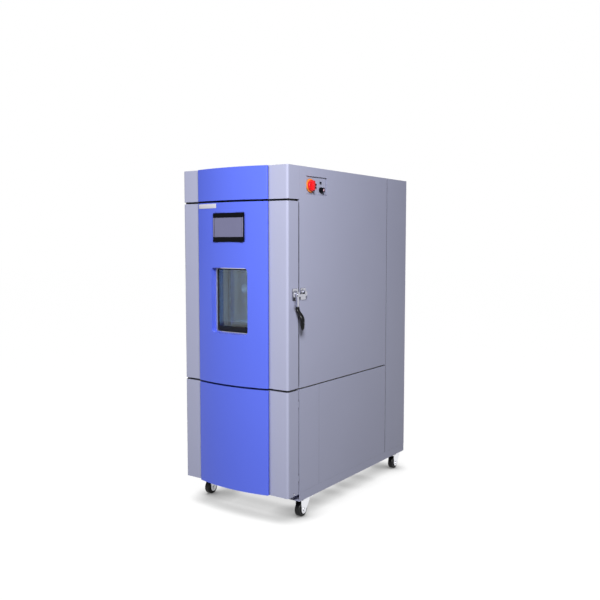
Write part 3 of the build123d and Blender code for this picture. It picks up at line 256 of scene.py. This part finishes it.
def add_modifier(piece, kind, **settings):
    """A modifier with its settings, applied to the piece's mesh."""
    made = piece.modifiers.new("shape", kind)
    for name, value in settings.items():
        setattr(made, name, value)
    bpy.ops.object.modifier_apply(modifier=made.name)


crease = math.radians(35)


def settle(name, material, body):
    """Name the active piece, place its mesh, smooth it up to the crease angle and dress it."""
    piece = bpy.context.object
    piece.name = name
    piece.data.name = name
    bpy.ops.object.transform_apply(location=True, rotation=True, scale=True)
    bpy.ops.object.shade_smooth_by_angle(angle=crease)
    piece.data.materials.clear()
    piece.data.materials.append(material)
    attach(piece, body)
    return piece


def copy_piece(piece, name, shift, body):
    """The same piece again with its own mesh, shifted in metres."""
    twin = piece.copy()
    twin.data = piece.data.copy()
    twin.parent = None
    twin.matrix_world = Matrix.Identity(4)
    twin.name = name
    twin.data.name = name
    bpy.context.collection.objects.link(twin)
    twin.data.transform(Matrix.Translation(shift))
    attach(twin, body)


mould_grain = 0.002
mould_depth = 0.0002


def moulded_plastic(name, color, roughness, gloss=0.5):
    """Injection-moulded plastic with a fine mould grain; gloss is its specular level."""
    material, tree, shader = new_material(name)
    shader.inputs["Base Color"].default_value = linear(color)
    shader.inputs["Roughness"].default_value = roughness
    shader.inputs["Specular IOR Level"].default_value = gloss
    grain(tree, shader, mould_grain, mould_depth, amount=0.12)
    return material


panel_low, panel_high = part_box("door_fascia")
panel_middle = (panel_low.x + panel_high.x) / 2
panel_half = (panel_high.x - panel_low.x) / 2
panel_edge = 0.014
panel_rise = panel_high.y - panel_low.y - panel_edge
panel_radius = (panel_half ** 2 + panel_rise ** 2) / (2 * panel_rise)


def panel_front(x):
    """The Y of the blue panel's curved front at that X."""
    return panel_low.y + panel_radius - math.sqrt(panel_radius ** 2 - (x - panel_middle) ** 2)


nameplate_width = 0.140
nameplate_height = 0.023
nameplate_sheet = 0.0008
nameplate_inset = 0.008
nameplate_drop = 0.005
nameplate_edge = 0.0002
glue_gap = 0.0002
deselect()
bpy.ops.mesh.primitive_grid_add(x_subdivisions=14, y_subdivisions=2, size=1)
nameplate = bpy.context.object
nameplate_x = panel_low.x + nameplate_inset + nameplate_width / 2
nameplate_z = panel_high.z - nameplate_drop - nameplate_height / 2
for vertex in nameplate.data.vertices:
    x = nameplate_x + vertex.co.x * nameplate_width
    vertex.co = (x, panel_front(x) - glue_gap, nameplate_z + vertex.co.y * nameplate_height)
add_modifier(nameplate, "SOLIDIFY", thickness=nameplate_sheet, offset=1)
add_modifier(nameplate, "BEVEL", width=nameplate_edge, segments=2, limit_method="ANGLE")
plate_white = moulded_plastic("nameplate_white", "e8e6f2", 0.4)
settle("nameplate", plate_white, "door")


# Door seal: a black extruded rubber section round the back of the door, which
# shows as the dark line in the seam beside it.
def black_rubber(name, color, roughness):
    """Extruded or moulded rubber: nearly black, matt, with a faint grain."""
    material, tree, shader = new_material(name)
    shader.inputs["Base Color"].default_value = linear(color)
    shader.inputs["Roughness"].default_value = roughness
    shader.inputs["Specular IOR Level"].default_value = 0.3
    grain(tree, shader, 0.003, 0.0003)
    return material


seal_rubber = black_rubber("seal_rubber", "08080c", 0.6)
dress(seal_rubber, "door_gasket")


# Window: a stainless frame through the door, closed by clear toughened panes with a
# slight blue tint. A stainless bead and a black seal hold the first; the seal's band,
# wider at the bottom, is painted shade on the sill.
def brushed_stainless(name, color, roughness, stretch):
    """Stainless sheet with brushing lines, drawn 2 mm wide so that they show."""
    material, tree, shader = new_material(name)
    shader.inputs["Base Color"].default_value = linear(color)
    shader.inputs["Metallic"].default_value = 1
    shader.inputs["Roughness"].default_value = roughness
    grain(tree, shader, 0.002, 0.0002, stretch, 0.15)
    return material


window_low, window_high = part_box("window_frame")
window_wall = 0.003
window_flange = 0.012
window_corner = 0.016
ring_clearance = 0.0003
ring_edge = 0.0008


def window_ring(front, depth, band, sill=0.0):
    """A rounded ring in the window's opening: its band is wider at the bottom by sill, for a painted
    shade there.
    """
    inset = window_wall + window_flange + ring_clearance
    width = window_high.x - window_low.x - 2 * inset
    height = window_high.z - window_low.z - 2 * inset
    middle_x = (window_low.x + window_high.x) / 2
    middle_z = (window_low.z + window_high.z) / 2
    deselect()
    bpy.ops.mesh.primitive_plane_add(size=1, location=(middle_x, front, middle_z),
                                     rotation=(math.radians(90), 0, 0))
    ring = bpy.context.object
    ring.scale = (width, height, 1)
    bpy.ops.object.transform_apply(location=False, rotation=True, scale=True)
    bpy.ops.object.mode_set(mode="EDIT")
    bpy.ops.mesh.select_all(action="SELECT")
    bpy.ops.mesh.bevel(offset=window_corner, segments=6, affect="VERTICES")
    bpy.ops.mesh.select_all(action="SELECT")
    bpy.ops.mesh.inset(thickness=band, depth=0)
    bpy.ops.object.mode_set(mode="OBJECT")
    middle = max(ring.data.polygons, key=lambda face: face.area).index
    for index in ring.data.polygons[middle].vertices:
        if ring.data.vertices[index].co.z < 0:
            ring.data.vertices[index].co.z += sill
    pick_faces(ring, lambda face: face.index == middle)
    bpy.ops.mesh.delete(type="FACE")
    bpy.ops.object.mode_set(mode="OBJECT")
    add_modifier(ring, "SOLIDIFY", thickness=depth, offset=-1)
    add_modifier(ring, "BEVEL", width=ring_edge, segments=2, limit_method="ANGLE")


brushed_upright = (1, 1, 0.02)
frame_steel = brushed_stainless("window_frame_steel", "d6d7da", 0.18, brushed_upright)
dress(frame_steel, "window_frame")
bead_back = 0.0005
bead_depth = 0.0075
bead_band = 0.005
window_ring(window_low.y + bead_back, bead_depth, bead_band)
bead_steel = brushed_stainless("window_bead_steel", "f0f0f6", 0.3, brushed_upright)
settle("window_bead", bead_steel, "door")
seal_proud = 0.0018
seal_depth = 0.0014
seal_band = 0.012
# The seal's band is wider at the bottom to paint the shade on the window's sill.
seal_shade_sill = 0.022
window_ring(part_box("window_panes")[0].y - seal_proud, seal_depth, seal_band, seal_shade_sill)
settle("window_seal", seal_rubber, "door")

# Light passes the panes with their tint, as it does through thin sheet glass.
pane_glass, tree, shader = new_material("toughened_glass")
pane_tint = linear("e0eef8")
shader.inputs["Base Color"].default_value = pane_tint
shader.inputs["Transmission Weight"].default_value = 1
shader.inputs["Roughness"].default_value = 0
shader.inputs["IOR"].default_value = 1.5
pane_clear = add_node(tree, "ShaderNodeBsdfTransparent", {"Color": pane_tint})
pane_mix = add_node(tree, "ShaderNodeMixShader",
                    {0: ray_share(tree, "Is Shadow Ray", "Is Diffuse Ray"),
                     1: shader.outputs[0], 2: pane_clear.outputs[0]})
tree.links.new(pane_mix.outputs[0], tree.nodes["Material Output"].inputs["Surface"])
dress(pane_glass, "window_panes")


# Touch panel: a black moulded bezel with an unlit display behind matt glass, and a
# grey strip down each side of the display.
def rounded_block(low, high, edge):
    """A block between two corners in metres, with its edges rounded by edge."""
    deselect()
    bpy.ops.mesh.primitive_cube_add(size=1, location=[(a + b) / 2 for a, b in zip(low, high)])
    block = bpy.context.object
    block.scale = [b - a for a, b in zip(low, high)]
    bpy.ops.object.transform_apply(location=False, rotation=False, scale=True)
    add_modifier(block, "BEVEL", width=edge, segments=3)


black_moulding = moulded_plastic("black_moulding", "05050c", 0.3, 0.12)
dress(black_moulding, "touch_panel_bezel", "panel_sockets", "reset_button", "overtemp_dial",
      "cable_gland")
display_glass, tree, shader = new_material("unlit_display")
shader.inputs["Roughness"].default_value = 0.3
shader.inputs["Specular IOR Level"].default_value = 0.3
mottle(tree, shader, "7a7a9a", "8282a2", 0.12)
dress(display_glass, "touch_screen")
bezel_low, bezel_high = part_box("touch_panel_bezel")
screen_low, screen_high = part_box("touch_screen")
strip_proud = 0.0006
strip_margin = 0.0015
strip_plastic = moulded_plastic("display_strip_grey", "84819f", 0.4)
for side, x0, x1 in (("left", bezel_low.x, screen_low.x), ("right", screen_high.x, bezel_high.x)):
    rounded_block((x0 + strip_margin, bezel_low.y - strip_proud, screen_low.z),
                  (x1 - strip_margin, bezel_low.y + strip_proud, screen_high.z), strip_proud / 2)
    settle(f"display_strip_{side}", strip_plastic, "door")


# Latch and hinges: zinc die-castings with polished chrome plate, darkened in their
# hollows by painted shade, and a moulded black grip on the latch's lever.
casting_wave = 0.012
# Painted shade in the plating's hollows: how near another face has to be.
hollow_shade_reach = 0.012


def plated_metal(name, color, roughness, depth, left):
    """Plated metal: bright, with the slight waves of the casting or pressing under it."""
    material, tree, shader = new_material(name)
    shader.inputs["Base Color"].default_value = linear(color)
    shader.inputs["Metallic"].default_value = 1
    shader.inputs["Roughness"].default_value = roughness
    grain(tree, shader, casting_wave, depth)
    # Painted shade darkens the plating in hollows and between parts.
    paint_crevice_shade(tree, shader, hollow_shade_reach, left)
    return material


chrome_plate = plated_metal("chrome_plate", "bcbdc8", 0.1, 0.002, 0.03)
dress(chrome_plate, "latch_body", "latch_lever", "latch_strike", "hinge_cabinet_leaves",
      "hinge_door_leaves")
grip_plastic = moulded_plastic("grip_plastic", "040408", 0.27, 0.18)
dress(grip_plastic, "lever_grip")


# Turned heads: screws, nuts and round caps, each with a bevelled edge and a recess or a
# boss in its face. The screws are zinc-plated steel.
def turned_head(place, turn, radius, rise, rim, sink, sides=24):
    """A turned head at a place, facing its turned Z, with a bevelled edge and a recess."""
    deselect()
    bpy.ops.mesh.primitive_cylinder_add(vertices=sides, radius=radius, depth=rise, location=place,
                                        rotation=turn)
    head = bpy.context.object
    pick_faces(head, lambda face: face.normal.z > 0.9)
    bpy.ops.mesh.inset(thickness=rim, depth=0)
    bpy.ops.mesh.inset(thickness=rim / 6, depth=-sink)
    bpy.ops.object.mode_set(mode="OBJECT")
    add_modifier(head, "BEVEL", width=rise * 0.3, segments=2, limit_method="ANGLE")


face_right = (0, math.radians(90), 0)
face_left = (0, math.radians(-90), 0)
face_rear = (math.radians(-90), 0, 0)
screw_radius = 0.0042
screw_rise = 0.0024
screw_rim = 0.0018
screw_recess = 0.0009
screw_steel = plated_metal("screw_plating", "c9cad2", 0.25, 0.0004, 0.1)

# Switch controls: a round orange base under the red knob of the main isolator, and a
# pink cap and white pointer on the black dial. The button and sockets are moulded too.
yellow_plastic = moulded_plastic("yellow_plastic", "ff9a3c", 0.36)
red_plastic = moulded_plastic("red_plastic", "ee1c24", 0.3)
dress(red_plastic, "isolator_knob")
base_low, base_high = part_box("isolator_escutcheon")
base_y = (base_low.y + base_high.y) / 2
base_z = (base_low.z + base_high.z) / 2
base_radius = 0.0345
base_rim = 0.006
base_recess = 0.0012
turned_head(((base_low.x + base_high.x) / 2, base_y, base_z), face_right, base_radius,
            base_high.x - base_low.x, base_rim, base_recess, 72)
escutcheon = settle("isolator_base", yellow_plastic, "cabinet")
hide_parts("isolator_escutcheon")
dial_low, dial_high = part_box("overtemp_dial")
dial_y = (dial_low.y + dial_high.y) / 2
dial_z = (dial_low.z + dial_high.z) / 2
dial_cap = moulded_plastic("dial_cap_pink", "e6b8cc", 0.4)
cap_radius = 0.0062
cap_rise = 0.0014
cap_rim = 0.0012
cap_recess = 0.0003
turned_head((dial_high.x, dial_y, dial_z), face_right, cap_radius, cap_rise, cap_rim, cap_recess, 32)
settle("overtemp_dial_cap", dial_cap, "overtemp_dial")
pointer_white = moulded_plastic("pointer_white", "eeeef4", 0.4)
pointer_sunk = 0.0002
pointer_proud = 0.0004
pointer_half = 0.0007
pointer_from, pointer_to = 0.0072, 0.0125
rounded_block((dial_high.x - pointer_sunk, dial_y - pointer_half, dial_z + pointer_from),
              (dial_high.x + pointer_proud, dial_y + pointer_half, dial_z + pointer_to), 0.0002)
settle("overtemp_dial_pointer", pointer_white, "overtemp_dial")

# Casters: pressed steel forks and plates in bright zinc, black rubber wheels, and a
# zinc hexagon nut on each end of the axle.
zinc_plate = plated_metal("zinc_plate", "e9eaef", 0.3, 0.0004, 0.12)
corners = ("front_left", "front_right", "rear_left", "rear_right")
dress(zinc_plate, "caster_plates", *[f"caster_fork_{corner}" for corner in corners])
wheel_rubber = black_rubber("wheel_rubber", "0b0b0e", 0.4)
dress(wheel_rubber, *[f"caster_wheel_{corner}" for corner in corners])
nut_radius = 0.0085
nut_rise = 0.005
nut_rim = 0.003
axle_end = 0.0008
cheek_gap = 0.001
for corner in corners:
    wheel_low, wheel_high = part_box(f"caster_wheel_{corner}")
    axle_y = (wheel_low.y + wheel_high.y) / 2
    axle_z = (wheel_low.z + wheel_high.z) / 2
    outer_x = wheel_high.x + cheek_gap + nut_rise / 2
    inner_x = wheel_low.x - cheek_gap - nut_rise / 2
    for side, x, turn in (("outer", outer_x, face_right), ("inner", inner_x, face_left)):
        turned_head((x, axle_y, axle_z), turn, nut_radius, nut_rise, nut_rim, -axle_end, 6)
        settle(f"axle_nut_{corner}_{side}", zinc_plate, f"fork_{corner}")

# Seam strips: black rubber strips under the header cover and on the lower cover, a
# painted shade in the seams above and below the door; they stay clear of the door as it swings.
door_low, door_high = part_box("door_shell")
header_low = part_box("header_cover")[0]
cover_low, cover_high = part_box("lower_cover")
strip_gap = 0.0015
strip_inset = 0.004
strip_front = 0.012
strip_rear = 0.006
strip_edge = 0.002
for seam, z0, z1 in (("upper", door_high.z + strip_gap, header_low.z),
                     ("lower", cover_high.z, door_low.z - strip_gap)):
    rounded_block((door_low.x + strip_inset, door_low.y + strip_front, z0),
                  (door_high.x - strip_inset, door_high.y - strip_rear, z1), strip_edge)
    # These black strips are painted shade in the seams.
    settle(f"seam_shade_strip_{seam}", seal_rubber, "cabinet")

# Rail ends: black moulded caps pressed into the open ends of the base frame's rails,
# at the rear.
rail_width = 0.040
rail_low, rail_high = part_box("base_frame")
rail_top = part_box("right_lower_panels")[0].z
cap_inset = 0.0005
cap_gap = 0.0002
cap_reach = 0.0025
cap_edge = 0.001
for side, x0 in (("left", rail_low.x), ("right", rail_high.x - rail_width)):
    rounded_block((x0 + cap_inset, rail_high.y + cap_gap, rail_low.z + cap_inset),
                  (x0 + rail_width - cap_inset, rail_high.y + cap_reach, rail_top - cap_inset),
                  cap_edge)
    settle(f"rail_cap_{side}", black_moulding, "cabinet")

# Panel screws: zinc pan heads along the edges of the rear panels, and one at the
# lower corner of the front cover's right side.
cover_screw_setback = 0.049
cover_screw_rise = 0.012
turned_head((cover_high.x + screw_rise / 2, cover_low.y + cover_screw_setback,
             cover_low.z + cover_screw_rise), face_right,
            screw_radius, screw_rise, screw_rim, screw_recess)
settle("cover_screw", screw_steel, "cabinet")
panel_screw_inset = 0.014
rear_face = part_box("rear_service_panel")[1].y
screw_places = {}
for panel, rows in (("rear_service_panel", 4), ("louvre_panel", 3)):
    low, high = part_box(panel)
    pitch = (high.z - low.z - 2 * panel_screw_inset) / (rows - 1)
    for column, x in enumerate((low.x + panel_screw_inset, high.x - panel_screw_inset)):
        for row in range(rows):
            z = low.z + panel_screw_inset + row * pitch
            screw_places[f"{panel}_screw_{column}{row}"] = Vector((x, rear_face + screw_rise / 2, z))
first_name = next(iter(screw_places))
first_place = screw_places.pop(first_name)
turned_head(first_place, face_rear, screw_radius, screw_rise, screw_rim, screw_recess)
first_screw = settle(first_name, screw_steel, "cabinet")
for name, place in screw_places.items():
    copy_piece(first_screw, name, place - first_place, "cabinet")

# Chamber inside: bright brushed stainless walls, baffle, shelves and their uprights,
# lit by the lamp behind its frosted glass.
wall_steel = brushed_stainless("wall_steel", "d6dfea", 0.34, brushed_upright)
dress(wall_steel, "chamber_liner", "door_liner", "air_baffle", "shelf_supports", "wire_shelves",
      "test_port", "heater_coil")
lamp_glass, tree, shader = new_material("frosted_lamp_glass")
shader.inputs["Roughness"].default_value = 0.5
mottle(tree, shader, "e6e6dc", "efefe6", 0.02)
shader.inputs["Emission Color"].default_value = linear("e4f0ff")
shader.inputs["Emission Strength"].default_value = 40
dress(lamp_glass, "chamber_lamp")

# Insulation: yellow mineral wool boards round the chamber and in the door, matt and
# with their fibres drawn 6 mm coarse so that they show.
wool, tree, shader = new_material("mineral_wool")
shader.inputs["Roughness"].default_value = 0.95
mottle(tree, shader, "b79c4e", "dcc887", 0.03)
grain(tree, shader, 0.006, 0.003, amount=0.8)
dress(wool, "chamber_insulation", "door_insulation")

# Machines: black compressors and motors, aluminium fins, galvanised sheet, a natural
# polyethylene water tank and a black fan.
machine_paint = powder_coat("black_machine_paint", "17171a", "1d1d20", 0.35)
dress(machine_paint, "compressors", "fan_motors")
fin_metal = brushed_stainless("fin_aluminium", "c9cbcf", 0.35, (1, 1, 0.05))
dress(fin_metal, "condenser", "evaporator", "fan_impeller")
galvanised = plated_metal("galvanised_sheet", "b4b8bc", 0.4, 0.0002, 0.4)
dress(galvanised, "condenser_shroud", "electrical_plate")
fan_plastic = moulded_plastic("fan_plastic", "1a1a1c", 0.5)
dress(fan_plastic, "condenser_fan")
tank_plastic = moulded_plastic("tank_polyethylene", "dfe2dc", 0.45)
dress(tank_plastic, "water_tank")
